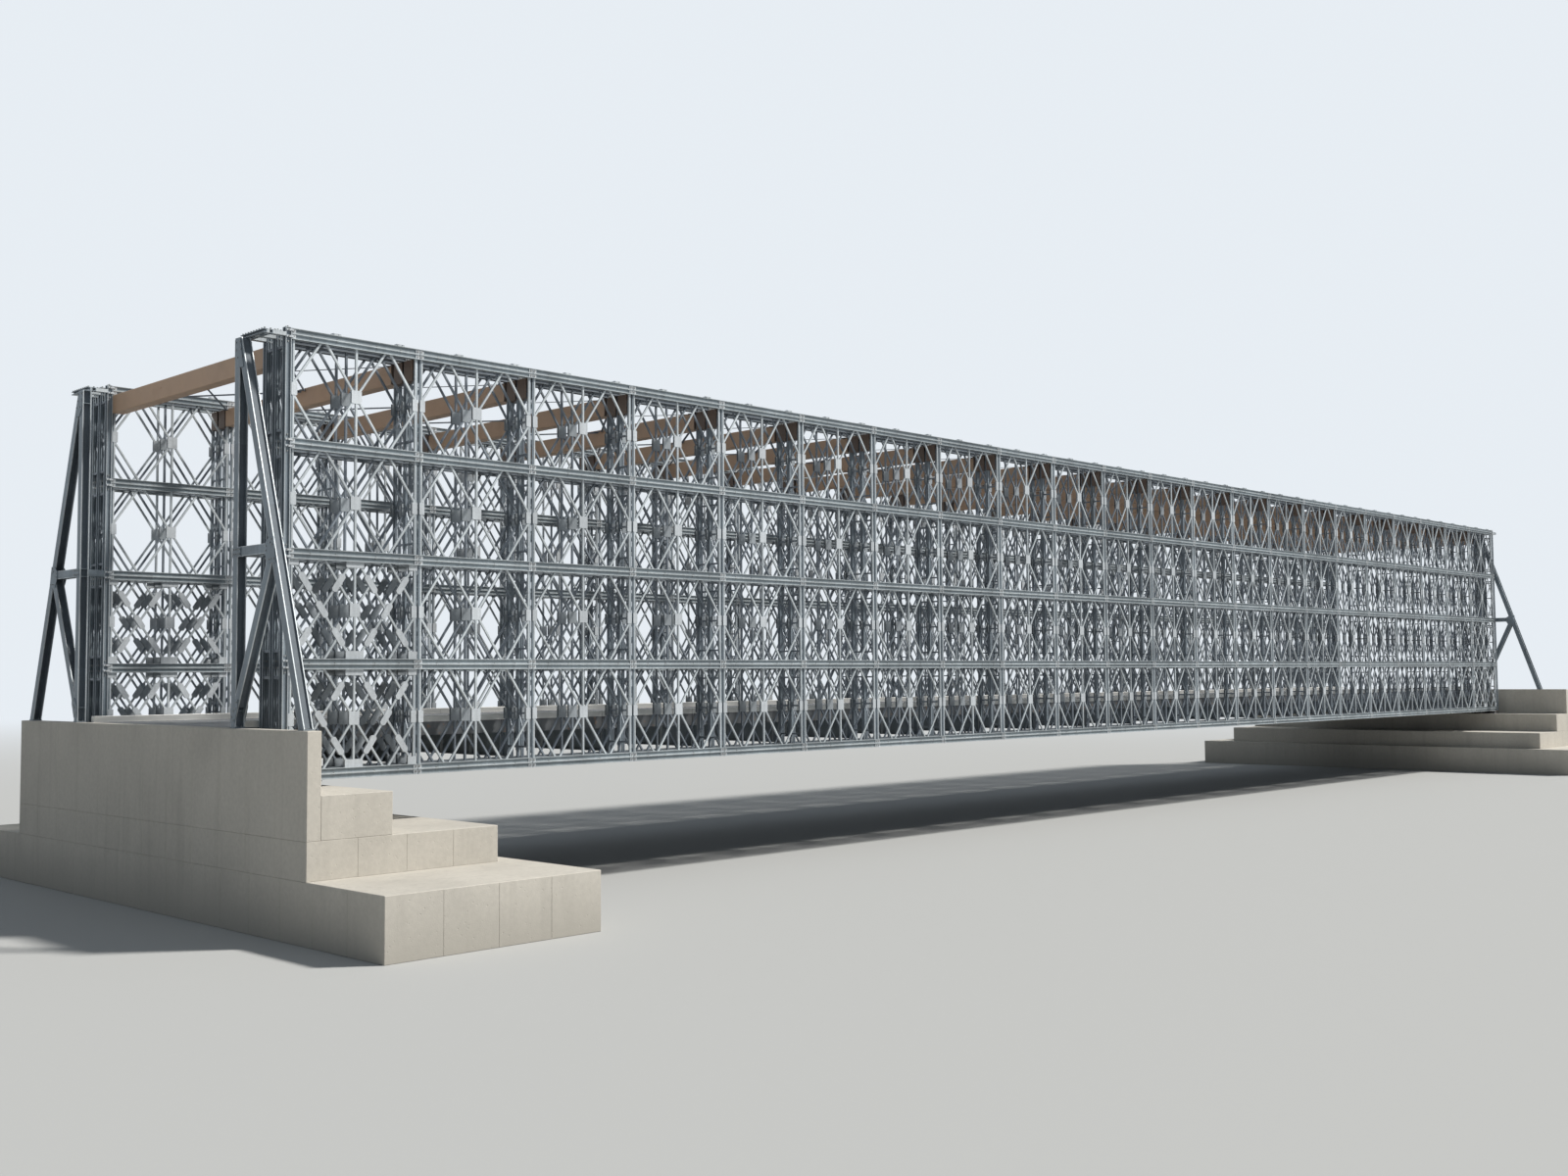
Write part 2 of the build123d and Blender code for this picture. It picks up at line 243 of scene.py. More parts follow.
class Paint:
    """A procedural material, with short calls that add nodes to it."""

    def __init__(self, name, metallic=0.0, roughness=0.5):
        self.material = bpy.data.materials.new(name)
        self.material.use_nodes = True
        self.tree = self.material.node_tree
        self.shader = next(n for n in self.tree.nodes if n.type == "BSDF_PRINCIPLED")
        self.shader.inputs["Metallic"].default_value = metallic
        self.shader.inputs["Roughness"].default_value = roughness
        self.where = self.node("TexCoord").outputs["Object"]

    def node(self, kind, inputs=None, **settings):
        """Adds a node to the material, as add_node does."""
        return add_node(self.tree, kind, inputs, **settings)

    def vector(self, operation, *values):
        """Works on vectors, each of them a value or another node's output."""
        return self.node("VectorMath", dict(enumerate(values)), operation=operation).outputs[0]

    def noise(self, scale, detail, stretch=None):
        """Cloudy noise, squeezed by a factor along each axis if one is given."""
        where = self.vector("MULTIPLY", self.where, stretch) if stretch else self.where
        return self.node("TexNoise", {"Scale": scale, "Detail": detail, "Vector": where}).outputs["Fac"]

    def cells(self, scale):
        """A random value for each of many small cells."""
        cells = self.node("TexVoronoi", {"Scale": scale, "Vector": self.where})
        return self.node("SeparateColor", {0: cells.outputs["Color"]}).outputs[0]

    def panels(self, size, offset):
        """A random value for each block of a grid of this size, such as one to a panel."""
        place = self.vector("DIVIDE", self.vector("SUBTRACT", self.where, offset), size)
        inputs = {"Vector": self.vector("FLOOR", place)}
        return self.node("TexWhiteNoise", inputs, noise_dimensions="3D").outputs["Value"]

    def ramp(self, value, *stops):
        """Turns a value into another, or into a colour, through (place, colour or grey) stops."""
        node = self.node("ValToRGB", {0: value})
        elements = node.color_ramp.elements
        while len(elements) < len(stops):
            elements.new(0.5)
        for element, (place, colour) in zip(elements, stops):
            element.position = place
            element.color = (*(colour if isinstance(colour, tuple) else (colour,) * 3), 1)
        return node.outputs["Color"]

    def blend(self, factor, first, second, mode="MIX"):
        """Mixes two colours. Each is a colour, or the output of another node."""
        first, second = ((*c, 1) if isinstance(c, tuple) else c for c in (first, second))
        inputs = {"Factor": factor, MIX_FIRST: first, MIX_SECOND: second}
        return self.node("Mix", inputs, data_type="RGBA", blend_type=mode).outputs[MIX_RESULT]

    def surface(self, colour, value, low, high):
        """Sets the colour, and lets the roughness follow a value between two limits."""
        rough = self.node("MapRange", {"Value": value, "To Min": low, "To Max": high})
        self.tree.links.new(colour, self.shader.inputs["Base Color"])
        self.tree.links.new(rough.outputs[0], self.shader.inputs["Roughness"])

    def bump(self, value, depth, strength):
        """Raises and lowers the surface by a value, up to depth metres."""
        inputs = {"Strength": strength, "Distance": depth, "Height": value}
        normal = self.shader.inputs["Normal"]
        if normal.is_linked:
            inputs["Normal"] = normal.links[0].from_socket
        self.tree.links.new(self.node("Bump", inputs).outputs[0], normal)


def shade(colour, factor):
    """A colour made lighter or darker."""
    return tuple(min(1.0, c * factor) for c in colour)


def galvanised(name, base, spread=0.16, metallic=0.35, low=0.38, high=0.62):
    """Zinc coated steel: spangle, cloudy weathering, a tone for each panel and faint streaks."""
    paint = Paint(name, metallic)
    cloud = paint.noise(2.2, 6.0)
    tone = paint.ramp(cloud, (0.30, shade(base, 1 - spread)), (0.70, shade(base, 1 + spread * 0.7)))
    by_panel = paint.panels(TONE_BLOCK, TONE_START)
    streak = paint.noise(1.0, 3.0, (26.0, 26.0, 1.6))
    for tint in (
        paint.ramp(by_panel, (0.0, 0.86), (1.0, 1.10)),
        paint.ramp(paint.cells(85.0), (0.0, 0.93), (1.0, 1.05)),
        paint.ramp(streak, (0.35, 0.90), (0.62, 1.03)),
    ):
        tone = paint.blend(1.0, tone, tint, "MULTIPLY")
    paint.surface(tone, cloud, low, high)
    paint.bump(paint.noise(60.0, 3.0), 0.0006, 0.5)
    return paint.material


def weathered_paint(name, base, dark, worn, wear):
    """Old paint: uneven colour, dark grime in patches and thin places where it has worn off."""
    paint = Paint(name)
    cloud = paint.noise(1.7, 6.0)
    tone = paint.ramp(cloud, (0.30, shade(base, 0.90)), (0.55, base), (0.75, shade(base, 1.08)))
    grime = paint.ramp(paint.noise(3.1, 8.0), (0.50, 0.0), (0.80, 0.45))
    tone = paint.blend(grime, tone, dark)
    chips = paint.ramp(paint.noise(14.0, 8.0), (wear, 0.0), (wear + 0.05, 0.8))
    tone = paint.blend(chips, tone, worn)
    paint.surface(tone, cloud, 0.45, 0.7)
    paint.bump(paint.noise(40.0, 5.0), 0.0008, 0.5)
    return paint.material


def concrete(name, base, damp):
    """Smooth cast concrete: clouds, faint runs of water, blowholes and a darker foot."""
    paint = Paint(name)
    cloud = paint.noise(0.9, 8.0)
    tone = paint.ramp(cloud, (0.28, shade(base, 0.88)), (0.50, base), (0.74, shade(base, 1.08)))
    fine = paint.ramp(paint.noise(22.0, 8.0), (0.30, 0.94), (0.70, 1.04))
    tone = paint.blend(1.0, tone, fine, "MULTIPLY")
    streak = paint.noise(1.0, 5.0, (7.0, 7.0, 0.55))
    tone = paint.blend(paint.ramp(streak, (0.52, 0.0), (0.76, 0.30)), tone, shade(base, 0.66))
    height = paint.node("SeparateXYZ", {0: paint.where}).outputs["Z"]
    tone = paint.blend(paint.ramp(height, (0.0, 0.75), (0.55, 0.0)), tone, damp)
    paint.surface(tone, cloud, 0.82, 0.95)
    holes = paint.node("TexVoronoi", {"Scale": 16.0, "Vector": paint.where}).outputs["Distance"]
    paint.bump(paint.ramp(holes, (0.05, 0.0), (0.16, 1.0)), 0.003, 0.6)
    paint.bump(paint.noise(70.0, 6.0), 0.0015, 0.6)
    return paint.material


# The flange finish is lighter and the web finish darker than the steel itself: painted highlight and painted
# shade.
zinc_flange_highlight = galvanised("zinc_flange_painted_highlight", (0.46, 0.50, 0.52))
zinc_web_painted_shade = galvanised("zinc_web_painted_shade", (0.225, 0.262, 0.285))
zinc_bar = galvanised("zinc_bar", (0.50, 0.54, 0.565))
zinc_plate = galvanised("zinc_plate", (0.535, 0.57, 0.60), 0.10, 0.25)
zinc_dark = galvanised("zinc_frame", (0.21, 0.25, 0.285), 0.18, 0.20)
# Darker copies of the steel, as painted shade on the trusses and frames that others would shade.
zinc_flange_highlight_in_shade = galvanised("zinc_flange_highlight_in_shade", (0.24, 0.27, 0.30), 0.18, 0.30)
zinc_web_deeper_painted_shade = galvanised("zinc_web_deeper_painted_shade", (0.145, 0.17, 0.20), 0.18, 0.30)
zinc_bar_painted_shade = galvanised("zinc_bar_painted_shade", (0.21, 0.24, 0.275), 0.18, 0.30)
zinc_plate_painted_shade = galvanised("zinc_plate_painted_shade", (0.30, 0.33, 0.355), 0.14, 0.25)
# A darker steel for the frames' webs, as painted shade in the recess between the flanges.
zinc_recess_painted_shade = galvanised("zinc_recess_painted_shade", (0.115, 0.14, 0.165), 0.18, 0.10, 0.55, 0.75)
zinc_bolt = galvanised("zinc_bolt", (0.30, 0.31, 0.31), 0.2, 0.5)
tan = weathered_paint("tan_paint", (0.50, 0.335, 0.225), (0.30, 0.20, 0.13), (0.36, 0.19, 0.10), 0.68)
# A darker copy of the tan paint, as painted shade on the beams' ends and the brackets between the trusses.
tan_painted_shade = weathered_paint("tan_paint_painted_shade", (0.15, 0.105, 0.08), (0.07, 0.05, 0.045), (0.20, 0.11, 0.07), 0.64)
brace_paint = weathered_paint("brace_paint", (0.13, 0.155, 0.19), (0.07, 0.08, 0.10), (0.25, 0.2, 0.17), 0.70)
deck_paint = weathered_paint("deck_paint", (0.17, 0.18, 0.19), (0.08, 0.08, 0.085), (0.27, 0.18, 0.13), 0.62)
kerb_white = weathered_paint("kerb_white", (0.88, 0.875, 0.84), (0.62, 0.60, 0.56), (0.52, 0.50, 0.47), 0.72)
bearing_iron = weathered_paint(
    "bearing_iron", (0.13, 0.13, 0.135), (0.06, 0.06, 0.06), (0.30, 0.17, 0.10), 0.60,
)
pale_concrete = concrete("pale_concrete", (0.54, 0.51, 0.455), (0.36, 0.34, 0.30))

# The numbers of the finishes, for the two lists of steel below and then for all other pieces
FLANGE_HIGHLIGHT_FINISH, BAR_AND_HIGHLIGHT_FINISH, PLATE_FINISH, BOLT_FINISH, FRAME_FINISH, WEB_SHADE_FINISH, RECESS_SHADE_FINISH = range(7)
BODY, TRIM, FIXING = range(3)
STEEL = [zinc_flange_highlight, zinc_bar, zinc_plate, zinc_bolt, zinc_dark, zinc_web_painted_shade, zinc_recess_painted_shade]
PAINTED_SHADE_STEEL = [
    zinc_flange_highlight_in_shade, zinc_bar_painted_shade, zinc_plate_painted_shade, zinc_bolt, zinc_dark, zinc_web_deeper_painted_shade,
]
# The trusses that keep the plain steel; the others get the darker copies as painted shade.
OPEN_TO_SUN = ("south_outer", "north_inner", "north_outer")


def truss_steel(side_name, truss_name):
    """The finishes of one truss: darker copies, as painted shade, where other trusses would shade it from the
    key light.
    """
    return STEEL if f"{side_name}_{truss_name}" in OPEN_TO_SUN else PAINTED_SHADE_STEEL


# One panel

RISE = 2 * PITCH / BAY
JOINT_GAP = 0.004
TAPER = 0.002
JAW = (JOINT_GAP, 0.050)
JAW_HALF = 0.021
JAW_DEPTH = 0.009
PIN_PLACE = 0.024
PIN_RADIUS = 0.012
PIN_REACH = 0.0345
END_BAR = 0.022
END_BAR_PLACE = 0.038
CENTRE_BAR = 0.026
END_STRIP = (0.010, 0.029)
STRIP_DEPTH = 0.008
DIAGONAL = 0.025
DIAGONAL_STEP = 0.0015
KNOT_GAP = 0.030
BAR_DEPTH = 0.013
BAR_LAP = 0.012
PLATE_BACK = 0.85 * BAR_DEPTH
PLATE_DEPTH = 0.0155
GUSSET_HALF = 0.060
GUSSET_TALL = 0.070
GUSSET_CUT = 0.009
SMALL_CUT = 0.006
END_GUSSET = (0.014, 0.078)
END_GUSSET_TALL = 0.066
CHORD_BOLTS = (0.155, 0.345, 0.655, 0.845)
CHORD_BOLT_PLACE = HALF_GAP + WEB + 0.0085
CHORD_BOLT_RADIUS = 0.0075
CHORD_BOLT_LENGTH = 0.032

# The denser lattice of the end panels
HEAVY_STEP = 0.003
HEAVY_INSET = 0.010
CROSSING_PLATE = 0.215
MIDDLE_PLATE = 0.190
CROSSING_HALF = 0.034
CROSSING_CUT = 0.28 * 2 * CROSSING_HALF
KNEE_HALF = 0.105
END_KNEE = (0.008, 0.115)
KNEE_LAP = 0.004
FOOT_KNEE = 0.082
HEAD_KNEE = 0.062


def at_both_ends(near, far):
    """A stretch near a panel's start, and its mirror image near the panel's end."""
    return (near, far), (BAY - far, BAY - near)


def add_channel(shape, side, foot, x0, x1):
    """A chord channel, open outwards: a web with its back at the bars' gap, darkened as painted shade, and
    two tapered flanges lightened as a painted highlight.
    """
    back, step, reach = (side * (HALF_GAP + depth) for depth in (0, WEB, FLANGE))
    head = foot + CHORD
    shape.block((x0, back, foot), (x1, step, head), WEB_SHADE_FINISH)
    for edge, way in ((foot, 1), (head, -1)):
        thin, thick = edge + way * (LIP - TAPER), edge + way * (LIP + TAPER)
        shape.profile([(step, edge), (reach, edge), (reach, thin), (step, thick)], x0, x1, FLANGE_HIGHLIGHT_FINISH)


def add_chord(shape, foot):
    """One panel's chord: two channels back to back, with jaws and a pin at each end."""
    middle = foot + CHORD / 2
    for side in (-1, 1):
        add_channel(shape, side, foot, JOINT_GAP, BAY - JOINT_GAP)
        face = side * (HALF_GAP + WEB)
        for x0, x1 in at_both_ends(*JAW):
            shape.block((x0, face, middle - JAW_HALF), (x1, face + side * JAW_DEPTH, middle + JAW_HALF),
                        PLATE_FINISH)
    for x in (PIN_PLACE, BAY - PIN_PLACE):
        shape.rod((x, -PIN_REACH, middle), "Y", PIN_RADIUS, 2 * PIN_REACH, BOLT_FINISH, sides=8)


def add_gusset(shape, outline):
    """A gusset plate of this outline on each face of the bars."""
    for side in (-1, 1):
        shape.plate(outline, side * PLATE_BACK, side * PLATE_DEPTH, PLATE_FINISH)


def add_bars(shape):
    """A panel's verticals and its diamond of diagonals, with their gusset plates."""
    low, high = CHORD - BAR_LAP, PITCH - CHORD + BAR_LAP
    middle, centre = PITCH / 2, BAY / 2
    for x, width in ((END_BAR_PLACE, END_BAR), (BAY - END_BAR_PLACE, END_BAR), (centre, CENTRE_BAR)):
        shape.bar((x, low), (x, high), width, BAR_DEPTH, BAR_AND_HIGHLIGHT_FINISH)
    for x0, x1 in at_both_ends(*END_STRIP):
        shape.block((x0, -STRIP_DEPTH, low), (x1, STRIP_DEPTH, high), FRAME_FINISH)
    for x_foot, x_knot in ((BAY / 4, 0), (BAY / 4, centre), (3 * BAY / 4, centre), (3 * BAY / 4, BAY)):
        lean = 1 if x_knot > x_foot else -1
        short = 0 if x_knot == centre else KNOT_GAP
        for z, edge, way in ((low, 0, 1), (high, PITCH, -1)):
            start = (x_foot + lean * abs(z - edge) / RISE, z)
            end = (x_knot - lean * short, middle - way * short * RISE)
            shape.bar(start, end, DIAGONAL, BAR_DEPTH - DIAGONAL_STEP, BAR_AND_HIGHLIGHT_FINISH)
    x0, x1, z0, z1 = centre - GUSSET_HALF, centre + GUSSET_HALF, middle - GUSSET_TALL, middle + GUSSET_TALL
    add_gusset(shape, cut_corners(x0, x1, z0, z1, GUSSET_CUT))
    for x0, x1 in at_both_ends(*END_GUSSET):
        z0, z1 = middle - END_GUSSET_TALL, middle + END_GUSSET_TALL
        add_gusset(shape, cut_corners(x0, x1, z0, z1, SMALL_CUT))


def add_slanted_gusset(shape, x, z, lean, length):
    """An elongated gusset plate that lies along a diagonal."""
    ux, uz = 1 / hypot(1, RISE), lean * RISE / hypot(1, RISE)
    plain = cut_corners(-length / 2, length / 2, -CROSSING_HALF, CROSSING_HALF, CROSSING_CUT)
    add_gusset(shape, [(x + ux * s - uz * t, z + uz * s + ux * t) for s, t in plain])


def add_heavy_lattice(shape):
    """The second set of diagonals in an end panel, with plates where they cross and along the chords."""
    low, high, centre = CHORD, PITCH - CHORD, BAY / 2
    for start, lean in ((0.0, 1), (0.0, -1), (centre, 1), (centre, -1)):
        heights = (low + HEAVY_INSET, high - HEAVY_INSET)
        ends = [(start + (z if lean > 0 else PITCH - z) / RISE, z) for z in heights]
        shape.bar(*ends, DIAGONAL, BAR_DEPTH - HEAVY_STEP, BAR_AND_HIGHLIGHT_FINISH)
        plates = [(0.25, CROSSING_PLATE), (0.75, CROSSING_PLATE)]
        if (lean < 0) == (start == 0.0):
            plates.append((0.5, MIDDLE_PLATE))
        for share, length in plates:
            z = PITCH * (share if lean > 0 else 1 - share)
            add_slanted_gusset(shape, start + share * centre, z, lean, length)
    for x0, x1 in ((centre - KNEE_HALF, centre + KNEE_HALF), *at_both_ends(*END_KNEE)):
        for z0, z1 in ((low - KNEE_LAP, low + FOOT_KNEE), (high - HEAD_KNEE, high + KNEE_LAP)):
            add_gusset(shape, cut_corners(x0, x1, z0, z1, SMALL_CUT))


def add_chord_bolts(shape):
    """The bolts that clamp two stacked chords, through both flanges."""
    for share in CHORD_BOLTS:
        for side in (-1, 1):
            start = (BAY * share, side * CHORD_BOLT_PLACE, -CHORD_BOLT_LENGTH / 2)
            shape.rod(start, "Z", CHORD_BOLT_RADIUS, CHORD_BOLT_LENGTH, BOLT_FINISH)


def truss_pile():
    """One whole truss, with its middle at y = 0: four storeys of panels and the outer chords."""
    plain, heavy, chords, end_chord, bolts = (Shape() for _ in range(5))
    add_bars(plain)
    add_bars(heavy)
    add_heavy_lattice(heavy)
    add_chord(chords, 0.0)
    add_chord(chords, PITCH - CHORD)
    add_chord(end_chord, 0.0)
    add_chord_bolts(bolts)
    starts = JOINTS[:-1]
    every = [(x, 0, z) for x in starts for z in LEVELS[:-1]]
    strong = [p for p in every if p[0] in (starts[0], starts[-1]) and p[2] in LEVELS[:2]]
    pile = Pile()
    pile.add(chords, every)
    pile.add(plain, [p for p in every if p not in strong])
    pile.add(heavy, strong)
    pile.add(end_chord, [(x, 0, z) for x in starts for z in (FOOT, HEAD - CHORD)])
    pile.add(bolts, [(x, 0, z) for x in starts for z in LEVELS])
    return pile


one_truss = truss_pile()
for side_name in SIDES:
    for truss_name in TRUSSES:
        name = f"{side_name}_{truss_name}"
        nodes = [f"{name}_{part}" for part in ("chords", "rising_diagonals", "falling_diagonals")]
        one_truss.moved_across(truss_y(side_name, truss_name)).piece(
            f"{name}_truss", truss_steel(side_name, truss_name), "galvanised_steel",
            [*nodes, f"{side_name}_verticals"],
        )

# Ties and frames between trusses

# A rail is given as half its size along X and up, and a stile as its size along X, or half of it
# in a cross frame, and across
BRACE_HALF = 0.005
CROSS_RAIL = (0.012, 0.011)
CROSS_STILE = (0.013, 0.010)
CROSS_RAILS = (0.16, 0.50, 0.84)
CROSS_STILE_ENDS = (0.12, 0.88)
CROSS_BRACE = (0.013, 0.031)
CROSS_FRAME_SHIFT = 0.030
END_RAIL = (0.024, 0.014)
END_STILE = (0.012, 0.006)
END_STILE_PLACES = (-0.020, 0.008)
END_BRACE = 0.020
TIE_HALF = 0.05
TIE_STRIPS = (-0.038, 0.018)
TIE_WIDTH = 0.020
CLAMP_HALF = (0.046, 0.030)
CLAMP_BOLTS = (-0.026, 0.026)


def add_cross_frame(shape, a, b):
    """A light frame that ties two trusses together at a panel joint, one storey high."""
    (rail_x, rail_z), (stile_x, stile_y) = CROSS_RAIL, CROSS_STILE
    foot, middle, head = (PITCH * share for share in CROSS_RAILS)
    low, high = (PITCH * share for share in CROSS_STILE_ENDS)
    for z in (foot, middle, head):
        shape.block((-rail_x, a, z - rail_z), (rail_x, b, z + rail_z), BAR_AND_HIGHLIGHT_FINISH)
    for y in (a, b - stile_y):
        shape.block((-stile_x, y, low), (stile_x, y + stile_y, high), FRAME_FINISH)
    for z, up in ((foot, 1), (head, -1)):
        near, far = (up * height for height in CROSS_BRACE)
        corners = ((a + stile_y, z + near), (a + stile_y, z + far),
                   (b - stile_y, middle - near), (b - stile_y, middle - far))
        shape.profile(corners, -BRACE_HALF, BRACE_HALF, BAR_AND_HIGHLIGHT_FINISH)


def add_end_frame(shape, a, b, x):
    """The close bracing that ties the end posts of two trusses together, storey by storey."""
    (rail_x, rail_z), (stile_x, stile_y) = END_RAIL, END_STILE
    for level in LEVELS[:-1]:
        for z in (level + PITCH * 0.12, level + PITCH * 0.88):
            shape.block((x - rail_x, a, z - rail_z), (x + rail_x, b, z + rail_z), BAR_AND_HIGHLIGHT_FINISH)
        middle = level + PITCH / 2
        for z, rise in ((level + PITCH * 0.13, END_BRACE), (level + PITCH * 0.87, -END_BRACE)):
            corners = ((a, z), (a, z + rise), (b, middle + rise / 2), (b, middle - rise / 2))
            shape.profile(corners, x - BRACE_HALF, x + BRACE_HALF, BAR_AND_HIGHLIGHT_FINISH)
    for y in (a, b - stile_y):
        for place in END_STILE_PLACES:
            shape.block((x + place, y, LEVEL_0), (x + place + stile_x, y + stile_y, LEVELS[-1]), FRAME_FINISH)


def tie_shape(side_name):
    """A flat tie over the three trusses' top chords, held down by clamps and bolts."""
    low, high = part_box(f"{side_name}_top_ties")
    clamp_x, clamp_y = CLAMP_HALF
    shape = Shape()
    for x in TIE_STRIPS:
        shape.block((x, low.y, low.z), (x + TIE_WIDTH, high.y, high.z - 0.008), BAR_AND_HIGHLIGHT_FINISH)
    for truss_name in TRUSSES:
        y = truss_y(side_name, truss_name)
        shape.block((-clamp_x, y - clamp_y, low.z), (clamp_x, y + clamp_y, high.z - 0.005), PLATE_FINISH)
        for x in CLAMP_BOLTS:
            shape.rod((x, y, high.z - 0.006), "Z", 0.010, 0.006, BOLT_FINISH)
    return shape


post_low, post_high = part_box("west_south_end_posts")
POST_X = -(post_low.x + post_high.x) / 2

for side_name in SIDES:
    pile = Pile()
    joints = [x + (CROSS_FRAME_SHIFT if x == WEST else -CROSS_FRAME_SHIFT) for x in JOINTS]
    for a, b in spaces_between(side_name, HALF_GAP + 0.004):
        shape = Shape()
        add_cross_frame(shape, a, b)
        pile.add(shape, [(x, 0, z) for x in joints for z in LEVELS[:-1]])
    for a, b in spaces_between(side_name, HALF_TRUSS + 0.001):
        shape = Shape()
        for end in ENDS.values():
            add_end_frame(shape, a, b, end * POST_X)
        pile.add(shape)
    # The frames between the trusses get the darker copies, as painted shade.
    pile.piece(f"{side_name}_cross_frames", PAINTED_SHADE_STEEL, "galvanised_steel")
    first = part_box(f"{side_name}_top_ties")[0].x + TIE_HALF
    make_piece(f"{side_name}_tie_bars", tie_shape(side_name), STEEL, "galvanised_steel",
               [f"{side_name}_top_ties"], places=[(first + n * BAY / 2, 0, 0) for n in range(2 * BAYS)])

# End posts

POST_WALL = 0.007
POST_REACH = HALF_TRUSS - 0.001
POST_HIGHLIGHT_EDGE = 0.005
STIFFENERS = (-0.028, 0.028)
POST_BOLTS = (-0.085, 0.085)
LUGS = (-0.034, 0.034)


def add_post_channel(shape, x0, x1, y, side, foot, head):
    """One of the two channels of an end post, open outwards, with a painted highlight along its flanges'
    edges.
    """
    back, step, edge, reach = (
        y + side * depth for depth in (HALF_GAP, HALF_GAP + WEB, POST_REACH - POST_HIGHLIGHT_EDGE, POST_REACH)
    )
    shape.block((x0 + POST_WALL, back, foot), (x1 - POST_WALL, step, head), FRAME_FINISH)
    # Each flange's outer strip takes the lighter bar finish, as a painted highlight.
    for a, b in ((x0, x0 + POST_WALL), (x1 - POST_WALL, x1)):
        shape.block((a, back, foot), (b, edge, head), FRAME_FINISH)
        shape.block((a, edge, foot), (b, reach, head), BAR_AND_HIGHLIGHT_FINISH)


def add_joint_lugs(shape, half, y, level, end):
    """The pale brackets that lock an end post to the chords at one storey joint."""
    inner, outer = end * (POST_X - half - 0.018), end * (POST_X + half - 0.006)
    for z in (level + offset for offset in LUGS):
        if not FOOT + 0.015 < z < HEAD - 0.010:
            continue
        for side in (-1, 1):
            face = y + side * POST_REACH
            front = face + side * 0.007
            shape.block((inner, face, z - 0.010), (outer, front, z + 0.010), PLATE_FINISH)
            shape.rod((end * POST_X, front, z), "Y", 0.008, side * 0.006, BOLT_FINISH)


def end_post(end_name, side_name, truss_name):
    """The two channels at one end of a truss, stiffened and pinned to it at each storey."""
    low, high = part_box(f"{end_name}_{side_name}_end_posts")
    middle, half = (low.x + high.x) / 2, (high.x - low.x) / 2
    y = truss_y(side_name, truss_name)
    shape = Shape()
    for side in (-1, 1):
        add_post_channel(shape, low.x, high.x, y, side, low.z, high.z)
        step, edge = y + side * (HALF_GAP + WEB), y + side * (HALF_TRUSS - 0.003)
        for level in LEVELS:
            for z in (level + offset for offset in STIFFENERS):
                if low.z + 0.01 < z < high.z - 0.01:
                    shape.block((low.x + POST_WALL, step, z - 0.004), (high.x - POST_WALL, edge, z + 0.004),
                                PLATE_FINISH)
            for z in (level + offset for offset in POST_BOLTS):
                if low.z + 0.02 < z < high.z - 0.02:
                    shape.rod((middle, step, z), "Y", 0.009, side * 0.010, BOLT_FINISH)
    for level in LEVELS:
        add_joint_lugs(shape, half, y, level, ENDS[end_name])
    return shape


for end_name in ENDS:
    for side_name in SIDES:
        for truss_name in TRUSSES:
            make_piece(
                f"{end_name}_{side_name}_{truss_name}_post", end_post(end_name, side_name, truss_name),
                truss_steel(side_name, truss_name), "galvanised_steel", [f"{end_name}_{side_name}_end_posts"],
            )

# Overhead beams and plan bracing

beam_low, beam_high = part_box("overhead_beams")
BEAM_HALF = 0.075
BEAM_EDGE = 0.006
BEAM_PLACES = [WEST + BEAM_HALF, *JOINTS[1:-1], -WEST - BEAM_HALF]
END_PLATE = 0.012
SADDLE_HALF = 0.058
SADDLE_WALL = 0.008


def beam_shape():
    """A smooth box beam, with end plates and their bolts."""
    shape = Shape()
    low, high, reach = beam_low.z, beam_high.z, beam_high.y
    half, inner = BEAM_HALF - 0.002, reach - END_PLATE
    shape.plate(cut_corners(-half, half, low, high, BEAM_EDGE), -inner, inner, BODY)
    for side in (-1, 1):
        # The end plates take the darkened tan, as painted shade.
        shape.block((-BEAM_HALF, side * inner, low), (BEAM_HALF, side * reach, high), TRIM)
        for x in (-0.052, 0.052):
            for z in (low + 0.035, (low + high) / 2, high - 0.035):
                shape.rod((x, side * inner, z), "Y", 0.010, -side * 0.009, FIXING)
    return shape


def saddle_shape(side_name):
    """The brackets that carry a beam's end on between the trusses, in the tan paint darkened as painted
    shade.
    """
    shape = Shape()
    low, high = beam_low.z - 0.012, beam_high.z
    half, wall = SADDLE_HALF, SADDLE_WALL
    for a, b in spaces_between(side_name, HALF_GAP + 0.006):
        middle = (a + b) / 2
        for x0, x1, y0, y1, z0, z1 in (
            (-half - wall, -half, a, b, low, high),
            (half, half + wall, a, b, low, high),
            (-half, half, a, b, low, low + wall),
            (-half, half, a, b, high - wall, high),
            (-half, half, middle - wall / 2, middle + wall / 2, low + wall, high - wall),
        ):
            shape.block((x0, y0, z0), (x1, y1, z1), TRIM)
    return shape


pile = Pile()
pile.add(beam_shape(), [(x, 0, 0) for x in BEAM_PLACES])
for side_name in SIDES:
    pile.add(saddle_shape(side_name), [(x, 0, 0) for x in BEAM_PLACES[1:-1]])
pile.piece("roof_beams", [tan, tan_painted_shade, zinc_bolt], "tan_paint", ["overhead_beams"])

BRACE_END = 0.045
BRACE_WIDTH = 0.024
BRACE_THICKNESS = 0.005
BRACE_LIP = 0.018
BRACE_LIP_EDGE = -0.65
BRACE_TOP = 0.016
BRACE_LAYER = 0.011
TIP_REACH = 0.055
TIP_HALF = (0.040, 0.018)


